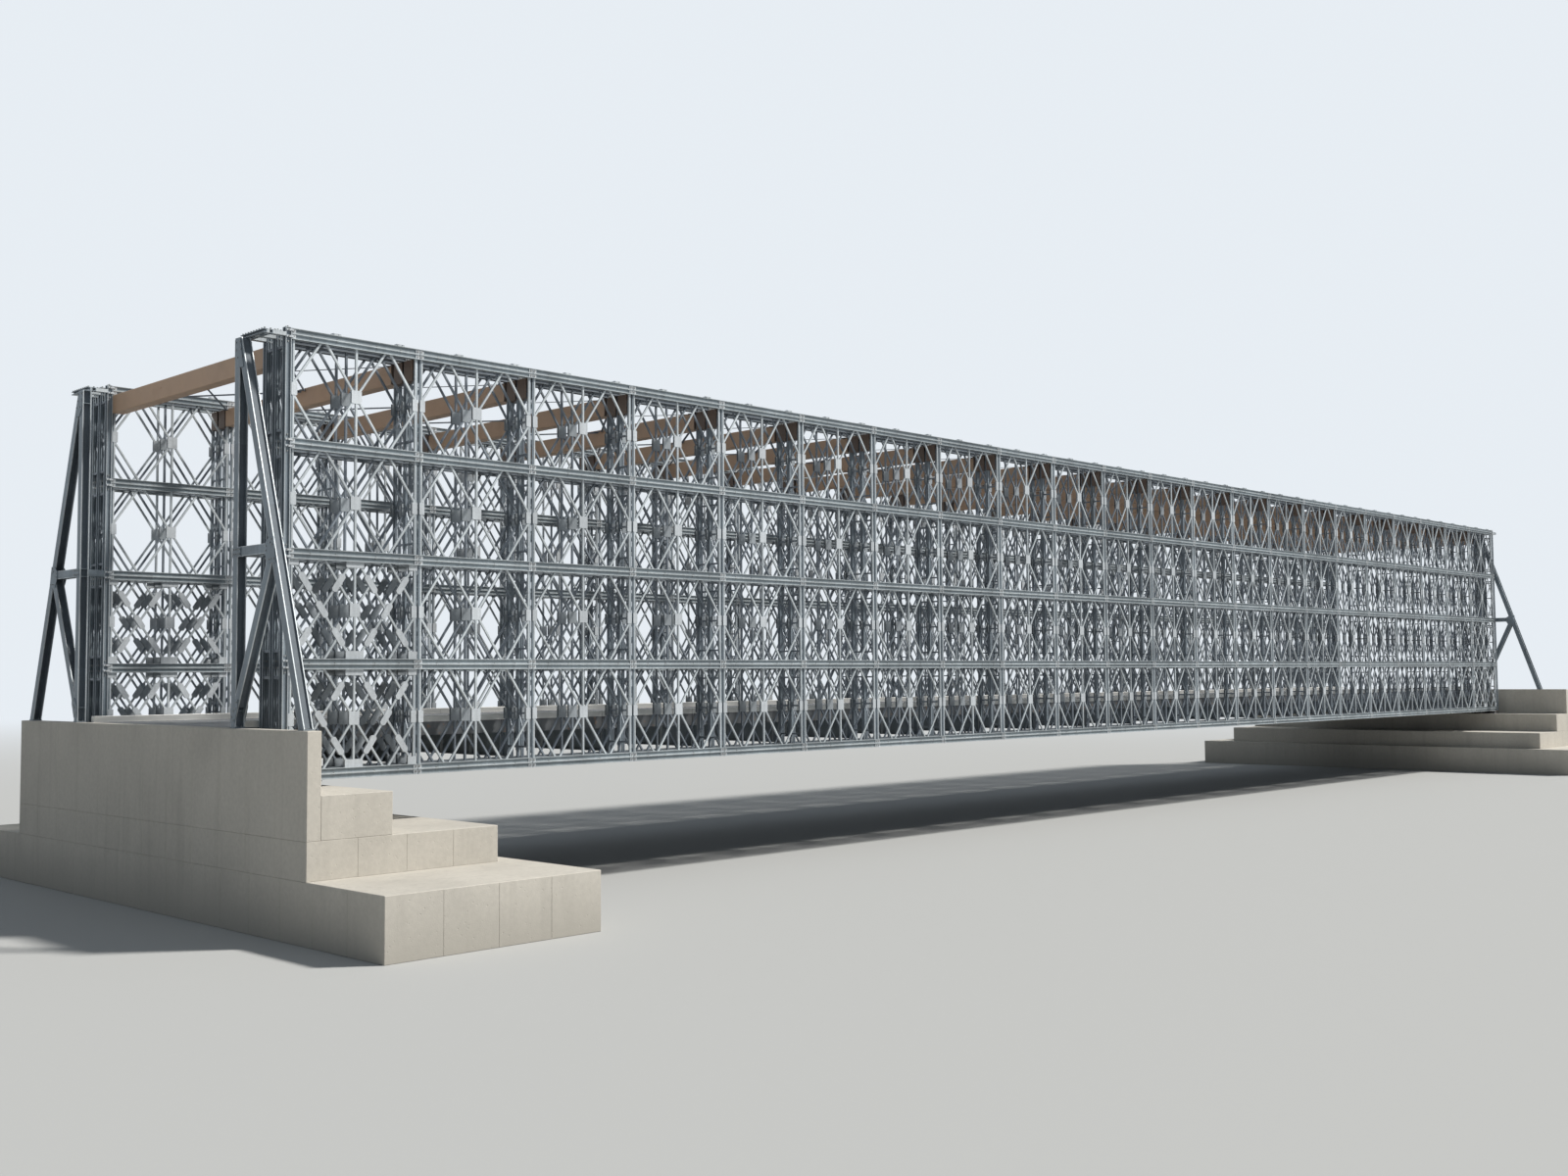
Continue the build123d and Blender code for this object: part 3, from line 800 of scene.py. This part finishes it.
def brace_shape(first, second):
    """The flat ties between two beams: they cross on each side of the bridge's middle line."""
    shape = Shape()
    left, right = first + BEAM_HALF, second - BEAM_HALF
    middle_y, side_y = BRACE_END, beam_high.y - BRACE_END
    wide, narrow = TIP_HALF
    for layer, (y_first, y_second) in enumerate(((middle_y, side_y), (side_y, middle_y))):
        top = beam_high.z - BRACE_TOP - layer * BRACE_LAYER
        half = BRACE_WIDTH / 2 * hypot(1, (y_second - y_first) / (right - left))
        lip = BRACE_LIP if layer else BRACE_THICKNESS
        for side in (-1, 1):
            a, b = side * y_first, side * y_second
            for far, depth in ((half, BRACE_THICKNESS), (BRACE_LIP_EDGE * half, lip)):
                corners = ((left, a - half), (right, b - half), (right, b + far), (left, a + far))
                shape.prism([(*corner, top) for corner in corners], (0, 0, -depth), BODY)
            for x, y, tip in ((left, a, left + TIP_REACH), (right, b, right - TIP_REACH)):
                corners = ((x, y - wide), (tip, y - narrow), (tip, y + narrow), (x, y + wide))
                shape.prism([(*corner, top) for corner in corners], (0, 0, BRACE_THICKNESS), BODY)
    return shape


pile = Pile()
for first, second in zip(BEAM_PLACES, BEAM_PLACES[1:]):
    pile.add(brace_shape(first, second))
pile.piece("plan_braces", [brace_paint], "bracing_steel")

# Deck

deck_low, deck_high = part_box("deck_units")
transom_low, transom_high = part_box("transoms")
DECK_LANES = 7
DECK_GAP = 0.003
DECK_PLATE = 0.008
DECK_RIM = 0.006
DECK_RIBS = 4
RIB_INSET = 0.012
RIB_TOP_HALF = 0.030
RIB_FOOT_HALF = 0.016
RIB_LIFT = 0.020


def deck_pile():
    """Deck units side by side in each bay: a top plate over ribs, with a rim all round."""
    pile = Pile()
    edges = [deck_low.x, *JOINTS[1:-1], deck_high.x]
    lane = (deck_high.y - deck_low.y) / DECK_LANES
    top, under, foot = deck_high.z, deck_high.z - DECK_PLATE, deck_low.z
    y0, y1 = DECK_GAP, lane - DECK_GAP
    for starts, end in ((edges[:1], edges[1]), (edges[1:-2], edges[2]), (edges[-2:-1], edges[-1])):
        size = end - starts[0]
        x0, x1 = DECK_GAP, size - DECK_GAP
        shape = Shape()
        shape.block((x0, y0, under), (x1, y1, top), BODY)
        for y in (y0, y1 - DECK_RIM):
            shape.block((x0, y, foot), (x1, y + DECK_RIM, under), BODY)
        for x in (x0, x1 - DECK_RIM):
            shape.block((x, y0 + DECK_RIM, foot), (x + DECK_RIM, y1 - DECK_RIM, under), BODY)
        for n in range(1, DECK_RIBS + 1):
            y = n * lane / (DECK_RIBS + 1)
            corners = ((y - RIB_TOP_HALF, under), (y + RIB_TOP_HALF, under),
                       (y + RIB_FOOT_HALF, foot + RIB_LIFT), (y - RIB_FOOT_HALF, foot + RIB_LIFT))
            shape.profile(corners, RIB_INSET, size - RIB_INSET, BODY)
        pile.add(shape, [(x, deck_low.y + n * lane, 0) for x in starts for n in range(DECK_LANES)])
    return pile


deck_pile().piece("deck_panels", [deck_paint], "deck_steel", ["deck_units"])

TRANSOM_HALF = 0.044
TRANSOM_WEB = 0.004
TRANSOM_FLANGE = 0.012
TRANSOM_END = 0.010
TRANSOM_INSET = 0.045
STIFFENER_STEP = 0.62


def transom_shape():
    """A rolled I beam under the deck, with stiffeners and end plates."""
    shape = Shape()
    low, high, reach = transom_low.z, transom_high.z, transom_high.y
    half, web, inner = TRANSOM_HALF, TRANSOM_WEB, reach - TRANSOM_END
    foot, head = low + TRANSOM_FLANGE, high - TRANSOM_FLANGE
    outline = [
        (-half, low), (half, low), (half, foot), (web, foot), (web, head), (half, head),
        (half, high), (-half, high), (-half, head), (-web, head), (-web, foot), (-half, foot),
    ]
    shape.plate(outline, -inner, inner, BODY)
    for side in (-1, 1):
        shape.block((-half, side * inner, low), (half, side * reach, high), TRIM)
        for n in range(-3, 4):
            y = n * STIFFENER_STEP
            shape.block((side * web, y - 0.004, foot), (side * (half - 0.003), y + 0.004, head), TRIM)
    return shape


transom_places = [(x, 0, 0) for x in (WEST + TRANSOM_INSET, *JOINTS[1:-1], -WEST - TRANSOM_INSET)]
make_piece("cross_beams", transom_shape(), [zinc_dark, zinc_bar], "deck_steel", ["transoms"],
           places=transom_places)

KERB_SLOPE = 0.025
KERB_EDGE = 0.005
KERB_GAP = 0.002
KERB_BOLT_INSET = 0.10


def kerb_shape(side_name):
    """The kerb in one length to a bay, each held down by three bolts."""
    side = SIDES[side_name]
    low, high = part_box(f"{side_name}_kerb")
    outer, inner = (low.y, high.y) if side < 0 else (high.y, low.y)
    toe = inner - side * KERB_SLOPE
    edges = [low.x, *JOINTS[1:-1], high.x]
    corners = [
        (outer, low.z), (outer, high.z - KERB_EDGE), (outer - side * KERB_EDGE, high.z),
        (toe + side * KERB_EDGE, high.z), (toe, high.z - 0.004), (inner, low.z + 0.003), (inner, low.z),
    ]
    shape = Shape()
    for first, second in zip(edges, edges[1:]):
        shape.profile(corners, first + KERB_GAP, second - KERB_GAP, BODY)
        for x in (first + KERB_BOLT_INSET, (first + second) / 2, second - KERB_BOLT_INSET):
            shape.rod((x, (outer + toe) / 2, high.z - 0.002), "Z", 0.008, 0.0018, TRIM)
    return shape


for side_name in SIDES:
    make_piece(f"{side_name}_kerb_rail", kerb_shape(side_name), [kerb_white, zinc_bolt], "kerb_paint",
               [f"{side_name}_kerb"])

# Concrete

SKIN = 0.003
CAST_WIDTH = 0.61
ALL_ROUND = ("X-", "X+", "Y-", "Y+", "Z+")
BUT_THE_BACK = ("X-", "Y-", "Y+", "Z+")


def add_tile(shape, axis, plane, out, u_range, v_range):
    """One cast panel of a face, with sloped edges, standing on a core inset by the skin."""
    (u0, u1), (v0, v1) = u_range, v_range
    spots = []
    for level, inset in ((plane - out * SKIN, 0.0), (plane, SKIN)):
        for u, v in ((u0 + inset, v0 + inset), (u1 - inset, v0 + inset),
                     (u1 - inset, v1 - inset), (u0 + inset, v1 - inset)):
            spots.append({"X": (level, u, v), "Y": (u, level, v), "Z": (u, v, level)}[axis])
    first = len(shape.points)
    shape.points += spots
    sides = [(i, (i + 1) % 4, (i + 1) % 4 + 4, i + 4) for i in range(4)] + [(4, 5, 6, 7), (3, 2, 1, 0)]
    centre = sum((Vector(p) for p in spots), Vector()) / len(spots)
    for side in sides:
        a, b, c = (Vector(spots[i]) for i in side[:3])
        flipped = (b - a).cross(c - b).dot((a + b + c) / 3 - centre) < 0
        shape.faces.append(tuple(first + i for i in (reversed(side) if flipped else side)))
        shape.finishes.append(BODY)


def add_cast_block(shape, low, high, faces):
    """A block of concrete whose named faces show the tall panels that it was cast against."""
    core_low = [v + (SKIN if axis + "-" in faces else 0) for axis, v in zip("XYZ", low)]
    core_high = [v - (SKIN if axis + "+" in faces else 0) for axis, v in zip("XYZ", high)]
    shape.block(core_low, core_high, BODY)
    for axis, sign in faces:
        k = "XYZ".index(axis)
        u, v = (n for n in range(3) if n != k)
        out, plane = (1, high[k]) if sign == "+" else (-1, low[k])
        count = 1 if axis == "Z" else max(1, round((core_high[u] - core_low[u]) / CAST_WIDTH))
        step = (core_high[u] - core_low[u]) / count
        for i in range(count):
            u_range = (core_low[u] + i * step, core_low[u] + (i + 1) * step)
            add_tile(shape, axis, plane, out, u_range, (core_low[v], core_high[v]))


# Both ends are made as the east end, and the west end's are mirrored
abutment_low, abutment_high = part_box("east_abutment")
footing_low, footing_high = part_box("east_footing")
deck_end = deck_high.x + 0.020
shelf_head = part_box("east_south_bearing")[0].z - 0.0003
step_head = footing_low.z + 0.600
step_front = footing_low.x + 0.260


def abutment_shape(wing):
    """The ballast wall and bearing shelf, for a wing that reaches this far across."""
    shape = Shape()
    foot, back = abutment_low.z, abutment_high.x
    add_cast_block(shape, (deck_end, -wing, foot), (back, wing, abutment_high.z), ALL_ROUND)
    add_cast_block(shape, (abutment_low.x, -wing, foot), (deck_end, wing, shelf_head), BUT_THE_BACK)
    return shape


def footing_shape(wing, spread):
    """The two tiers below the shelf, the upper as wide as the wing."""
    shape = Shape()
    back, foot = footing_high.x, footing_low.z
    add_cast_block(shape, (step_front, -wing, step_head), (back, wing, footing_high.z), ALL_ROUND)
    add_cast_block(shape, (footing_low.x, -spread, foot), (back, spread, step_head), ALL_ROUND)
    return shape


for end_name, end in ENDS.items():
    wing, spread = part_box(f"{end_name}_abutment")[1].y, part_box(f"{end_name}_footing")[1].y
    for name, shape in (("abutment", abutment_shape(wing)), ("footing", footing_shape(wing, spread))):
        make_piece(f"{end_name}_{name}_concrete", shape, [pale_concrete], "concrete", [f"{end_name}_{name}"],
                   (end, 1, 1))

# Bearings

BEARING_PLATE = 0.014
PEDESTAL_HALF = 0.045
RIB_PLACES = (PEDESTAL_HALF, PEDESTAL_HALF + 0.02, 0.14)
RIB_THICKNESS = 0.010
RIB_COUNT = 7


def bearing_shape(side_name):
    """A bearing: a seat and a base plate, a ribbed pedestal between them, and anchor bolts."""
    low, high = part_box(f"east_{side_name}_bearing")
    shape = Shape()
    middle, middle_y = (low.x + high.x) / 2, (low.y + high.y) / 2
    z0, z1 = low.z + BEARING_PLATE, high.z - BEARING_PLATE
    shape.block((low.x, low.y, low.z), (high.x, high.y, z0), BODY)
    shape.block((low.x, low.y, z1), (high.x, high.y, high.z), BODY)
    shape.block((middle - PEDESTAL_HALF, low.y + 0.01, z0), (middle + PEDESTAL_HALF, high.y - 0.01, z1), BODY)
    for n in range(RIB_COUNT):
        y = low.y + 0.012 + n * (high.y - low.y - 0.034) / (RIB_COUNT - 1)
        for side in (-1, 1):
            inner, shoulder, outer = (middle + side * place for place in RIB_PLACES)
            shape.plate([(inner, z0), (outer, z0), (shoulder, z1), (inner, z1)], y, y + RIB_THICKNESS, BODY)
    for x in (low.x + 0.022, high.x - 0.022):
        for y in (low.y + 0.035, middle_y - 0.05, middle_y + 0.05, high.y - 0.035):
            shape.rod((x, y, z0), "Z", 0.011, 0.008, TRIM)
    return shape


for end_name, end in ENDS.items():
    for side_name in SIDES:
        make_piece(f"{end_name}_{side_name}_pedestal", bearing_shape(side_name), [bearing_iron, zinc_bolt],
                   "bearing_steel", [f"{end_name}_{side_name}_bearing"], (end, 1, 1))

# Corner frames, made as the north-east one

FRAME_X = deck_end + 0.055
FRAME_HALF = 0.050
FRAME_FLANGE = 0.010
FRAME_WEB_HALF = 0.004
FRAME_HIGHLIGHT_EDGE = 0.006
RAKER_WEB_PLACE = -0.028
ROAD = abutment_high.z
FOOT_PLATE = 0.012
FOOT_PLATE_HALF = 0.055
BASE = ROAD + FOOT_PLATE + 0.0003
STRUT_Z = ROAD + 1.790
POST_HEAD = HEAD - 0.0953
POST_Y = -truss_y("south", "inner")
POST_FACE = POST_Y + FRAME_HALF
RAKER_Y = POST_Y + 1.380
MEET = POST_HEAD - 0.040
LEAN = (RAKER_Y - POST_FACE) / (MEET - BASE)
LINK_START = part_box("east_south_end_posts")[1].x

# Cuts, each as (a, b, c): what lies where a * across + b * up is over c is cut away
BESIDE_POST = (-1, 0, -POST_FACE)
INSIDE_RAKER = (1, LEAN, POST_FACE + LEAN * MEET - FRAME_HALF * hypot(1, LEAN))
ABOVE_BASE = (0, -1, -BASE)
BELOW_HEAD = (0, 1, POST_HEAD)
BELOW_STRUT = (0, 1, STRUT_Z - FRAME_HALF)


def raker_place(z):
    """The raker's place across the bridge at a height."""
    return POST_FACE + LEAN * (MEET - z)


def clipped(outline, a, b, c):
    """The part of a convex outline, given across and up, that a cut leaves."""
    kept = []
    for p, q in zip(outline, outline[1:] + outline[:1]):
        over_p, over_q = (a * v[0] + b * v[1] - c for v in (p, q))
        if over_p <= 0:
            kept.append(p)
        if over_p * over_q < 0:
            share = over_p / (over_p - over_q)
            kept.append((p[0] + share * (q[0] - p[0]), p[1] + share * (q[1] - p[1])))
    return kept


def add_member(shape, start, end, cuts=(), web_place=0.0):
    """An H section bar between two points across and up, with a painted highlight along its flanges' edges
    and painted shade on its web.
    """
    run, climb = end[0] - start[0], end[1] - start[1]
    length = hypot(run, climb)
    inner, edge = FRAME_HALF - FRAME_FLANGE, FRAME_HALF - FRAME_HIGHLIGHT_EDGE
    # The web takes the darkened recess finish, as painted shade.
    plates = [(web_place - FRAME_WEB_HALF, web_place + FRAME_WEB_HALF, -inner, inner, RECESS_SHADE_FINISH)]
    # Each flange's two outer strips take the lighter bar finish, as a painted highlight.
    for x0, x1 in ((-FRAME_HALF, -inner), (inner, FRAME_HALF)):
        plates += [(-FRAME_HALF, -edge, x0, x1, BAR_AND_HIGHLIGHT_FINISH), (-edge, edge, x0, x1, FRAME_FINISH),
                   (edge, FRAME_HALF, x0, x1, BAR_AND_HIGHLIGHT_FINISH)]
    for low, high, x0, x1, finish in plates:
        outline = [(p[0] - climb / length * offset, p[1] + run / length * offset)
                   for p, offset in ((start, low), (end, low), (end, high), (start, high))]
        for cut in cuts:
            outline = clipped(outline, *cut)
        shape.profile(outline, FRAME_X + x0, FRAME_X + x1, finish)


CAP_FOOT, CAP_HEAD = POST_HEAD + 0.006, POST_HEAD + 0.046
CAP_BARS = (FRAME_X - 0.105, FRAME_X - 0.040)
CAP_WIDTH = 0.035
CAP_WALL = 0.008
CAP_BOLTS = 9
CAP_BOLT_STEP = 0.057
SPLICE_DEPTH = 0.008


def add_cap(shape):
    """The bolted pair of channel bars over a frame's post, with a link to each truss's end post."""
    low, high, wall, start = CAP_FOOT, CAP_HEAD, CAP_WALL, POST_Y - FRAME_HALF
    x0, x1 = FRAME_X - FRAME_HALF, FRAME_X + FRAME_HALF
    shape.block((x0, start, POST_HEAD), (x1, POST_FACE, low), FRAME_FINISH)
    section = [(0, low), (CAP_WIDTH, low), (CAP_WIDTH, low + wall), (wall, low + wall),
               (wall, high - wall), (CAP_WIDTH, high - wall), (CAP_WIDTH, high), (0, high)]
    for x in CAP_BARS:
        shape.plate([(x + offset, z) for offset, z in section], start, -chords_low.y, FRAME_FINISH)
        for n in range(CAP_BOLTS):
            shape.rod((x + 0.018, POST_Y - 0.025 + n * CAP_BOLT_STEP, high), "Z", 0.010, 0.016, BOLT_FINISH)
    outer_bar, inner_bar = CAP_BARS
    for truss_name in TRUSSES:
        y = -truss_y("south", truss_name)
        for x0, x1, z0, z1 in (
            (LINK_START, outer_bar, low, high),
            (outer_bar + CAP_WIDTH, inner_bar, low, high - 0.004),
            (LINK_START - 0.055, LINK_START, HEAD, HEAD + 0.006),
        ):
            shape.block((x0, y - POST_REACH, z0), (x1, y + POST_REACH, z1), BAR_AND_HIGHLIGHT_FINISH)
        bolts = ((LINK_START - 0.028, HEAD + 0.006), (LINK_START + 0.045, high), (outer_bar - 0.030, high))
        for x, z in bolts:
            for side in (-1, 1):
                shape.rod((x, y + side * 0.018, z), "Z", 0.009, 0.014, BOLT_FINISH)


def add_splice(shape, y, z, outline, bolts):
    """A pair of plates over a corner frame's flanges, with bolts, all given as offsets from a point."""
    for side in (-1, 1):
        back, front = (FRAME_X + side * (FRAME_HALF + depth) for depth in (0, SPLICE_DEPTH))
        shape.profile([(y + dy, z + dz) for dy, dz in outline], back, front, FRAME_FINISH)
        for dy, dz in bolts:
            shape.rod((front, y + dy, z + dz), "X", 0.009, side * 0.007, BOLT_FINISH)


def add_splices(shape):
    """The spliced joints: raker to strut, strut to post, raker to post, and inner brace to post."""
    add_splice(
        shape, raker_place(STRUT_Z), STRUT_Z,
        [(-0.150, 0.040), (-0.150, -0.040), (-0.085, -0.150), (0.075, -0.150), (0.025, 0.110),
         (-0.060, 0.110)],
        [(-0.120, 0.022), (-0.120, -0.022), (-0.055, -0.115), (-0.020, -0.110), (0.042, -0.110),
         (-0.012, 0.085), (0.008, 0.030), (-0.040, 0.050)],
    )
    add_splice(
        shape, POST_Y, STRUT_Z,
        [(-0.040, -0.045), (0.130, -0.045), (0.130, 0.045), (-0.040, 0.045)],
        [(dy, dz) for dy in (-0.015, 0.030, 0.080, 0.110) for dz in (-0.024, 0.024)],
    )
    top = POST_HEAD - 0.012
    add_splice(
        shape, POST_Y, top,
        [(-0.040, 0), (-0.040, -0.200), (0.040, -0.300), (raker_place(top - 0.300) - POST_Y, -0.300),
         (raker_place(top) + 0.030 - POST_Y, 0)],
        [(-0.018, -0.030), (-0.018, -0.110), (0.020, -0.190), (0.075, -0.030), (0.085, -0.110),
         (0.115, -0.190)],
    )
    add_splice(
        shape, POST_Y, BASE + 0.100,
        [(-0.040, 0.080), (-0.040, -0.060), (0.040, -0.060), (0.105, 0.100), (0.105, 0.180), (0.040, 0.180)],
        [(-0.015, 0), (0.018, -0.030), (0.018, 0.060), (0.060, 0.085), (0.078, 0.150)],
    )


def frame_shape():
    """A corner frame: post, raker, strut, inner brace, cap, splice plates and anchor bolts."""
    shape = Shape()
    hub = (raker_place(STRUT_Z), STRUT_Z)
    add_member(shape, (POST_Y, BASE), (POST_Y, POST_HEAD))
    foot, head = ((raker_place(z), z) for z in (BASE - 0.1, POST_HEAD + 0.1))
    add_member(shape, foot, head, (ABOVE_BASE, BELOW_HEAD, BESIDE_POST), RAKER_WEB_PLACE)
    add_member(shape, (POST_FACE, STRUT_Z), hub, (INSIDE_RAKER,))
    add_member(shape, (POST_Y, BASE + 0.100), hub, (BESIDE_POST, BELOW_STRUT, INSIDE_RAKER))
    add_cap(shape)
    shape.block((LINK_START, POST_Y - 0.030, STRUT_Z - 0.040),
                (FRAME_X - FRAME_HALF, POST_Y + 0.030, STRUT_Z + 0.040), FRAME_FINISH)
    add_splices(shape)
    for z in (STRUT_Z - 0.050, STRUT_Z + 0.044, BASE + 0.160, POST_HEAD - 0.160, POST_HEAD - 0.006):
        for side in (-1, 1):
            shape.block((FRAME_X - 0.040, POST_Y + side * 0.004, z),
                        (FRAME_X + 0.040, POST_Y + side * 0.048, z + 0.006), FRAME_FINISH)
    half, foot = FOOT_PLATE_HALF, BASE - FOOT_PLATE
    for y in (POST_Y, RAKER_Y):
        shape.block((FRAME_X - half, y - half, foot), (FRAME_X + half, y + half, BASE), FRAME_FINISH)
        for dx in (-0.025, 0.025):
            for dy in (-0.030, 0.030):
                shape.rod((FRAME_X + dx, y + dy, BASE), "Z", 0.009, 0.012, BOLT_FINISH)
    return shape


corner = frame_shape()
for end_name, end in ENDS.items():
    for side_name, side in SIDES.items():
        make_piece(f"{end_name}_{side_name}_braced_frame", corner, STEEL, "frame_steel",
                   [f"{end_name}_{side_name}_corner_frame"], (end, side, 1))

# Stage, light and camera

BACKDROP = (0.80, 0.85, 0.90, 1)
FLOOR_COLOUR = (0.47, 0.475, 0.47, 1)
FLOOR_REACH = 900.0
FLOOR_LEVEL = -0.002
FADE_START = 16.0
FADE_END = 95.0
FILL_COLOUR = (0.78, 0.89, 1.0, 1)
FILL_STRENGTH = 0.25
SUN_COLOUR = (1.0, 0.97, 0.92)
SUN_STRENGTH = 4.5
SUN_ANGLE = radians(6)
SUN_DIRECTION = (-0.56, 0.44, -0.70)
CAMERA_PLACE = (-24.5355, -16.954, 2.4955)
CAMERA_YAW = radians(45.946)
CAMERA_PITCH = radians(3.257)
CAMERA_ROLL = radians(-0.447)
CAMERA_LENS = 35.49


def make_floor():
    """A pale floor that fades into the backdrop's colour far from the object."""
    reach, level = FLOOR_REACH, FLOOR_LEVEL
    mesh = bpy.data.meshes.new("floor")
    corners = [(-reach, -reach, level), (reach, -reach, level), (reach, reach, level), (-reach, reach, level)]
    mesh.from_pydata(corners, [], [(0, 1, 2, 3)])
    floor = bpy.data.objects.new("floor", mesh)
    bpy.context.scene.collection.objects.link(floor)
    paint = Paint("floor", 0.0, 0.9)
    paint.shader.inputs["Base Color"].default_value = FLOOR_COLOUR
    paint.shader.inputs["Specular IOR Level"].default_value = 0.1
    glow = paint.node("Emission", {"Color": BACKDROP})
    away = paint.node("VectorMath", {0: paint.where}, operation="LENGTH").outputs["Value"]
    limits = {"From Min": FADE_START, "From Max": FADE_END, "Value": away}
    fade = paint.node("MapRange", limits, interpolation_type="SMOOTHSTEP").outputs[0]
    seen = paint.node("LightPath").outputs["Is Camera Ray"]
    share = paint.node("Math", {0: fade, 1: seen}, operation="MULTIPLY").outputs[0]
    mix = paint.node("MixShader", {0: share, 1: paint.shader.outputs[0], 2: glow.outputs[0]})
    output = next(n for n in paint.tree.nodes if n.type == "OUTPUT_MATERIAL")
    paint.tree.links.new(mix.outputs[0], output.inputs["Surface"])
    mesh.materials.append(paint.material)


def make_world():
    """A pale backdrop for what the camera and gloss see, and a soft cool fill for the rest."""
    world = bpy.data.worlds.new("studio")
    world.use_nodes = True
    bpy.context.scene.world = world
    tree = world.node_tree
    tree.nodes.clear()
    fill = add_node(tree, "Background", {"Color": FILL_COLOUR, "Strength": FILL_STRENGTH})
    seen = add_node(tree, "Background", {"Color": BACKDROP, "Strength": 1.0})
    path = add_node(tree, "LightPath")
    share = path.outputs["Is Camera Ray"]
    for name in ("Is Glossy Ray", "Is Transmission Ray"):
        share = add_node(tree, "Math", {0: share, 1: path.outputs[name]}, operation="MAXIMUM").outputs[0]
    mix = add_node(tree, "MixShader", {0: share, 1: fill.outputs[0], 2: seen.outputs[0]})
    add_node(tree, "OutputWorld", {"Surface": mix.outputs[0]})


def make_sun():
    """One soft key light, from the near side and high up."""
    light = bpy.data.lights.new("key", "SUN")
    light.energy = SUN_STRENGTH
    light.angle = SUN_ANGLE
    light.color = SUN_COLOUR
    sun = bpy.data.objects.new("key", light)
    sun.rotation_euler = Vector(SUN_DIRECTION).to_track_quat("-Z", "Y").to_euler()
    bpy.context.scene.collection.objects.link(sun)


def make_camera():
    """The photograph's point of view."""
    yaw, pitch, roll = CAMERA_YAW, CAMERA_PITCH, CAMERA_ROLL
    forward = Vector((sin(yaw) * cos(pitch), cos(yaw) * cos(pitch), sin(pitch)))
    right = Vector((cos(yaw), -sin(yaw), 0))
    up = right.cross(forward)
    right, up = cos(roll) * right + sin(roll) * up, -sin(roll) * right + cos(roll) * up
    data = bpy.data.cameras.new("camera")
    data.sensor_width = 36.0
    data.lens = CAMERA_LENS
    data.clip_end = 3000.0
    camera = bpy.data.objects.new("camera", data)
    x, y, z = CAMERA_PLACE
    camera.matrix_world = Matrix((
        (right.x, up.x, -forward.x, x),
        (right.y, up.y, -forward.y, y),
        (right.z, up.z, -forward.z, z),
        (0, 0, 0, 1),
    ))
    bpy.context.scene.collection.objects.link(camera)
    bpy.context.scene.camera = camera


make_floor()
make_world()
make_sun()
make_camera()
bpy.context.scene.view_settings.view_transform = "Standard"
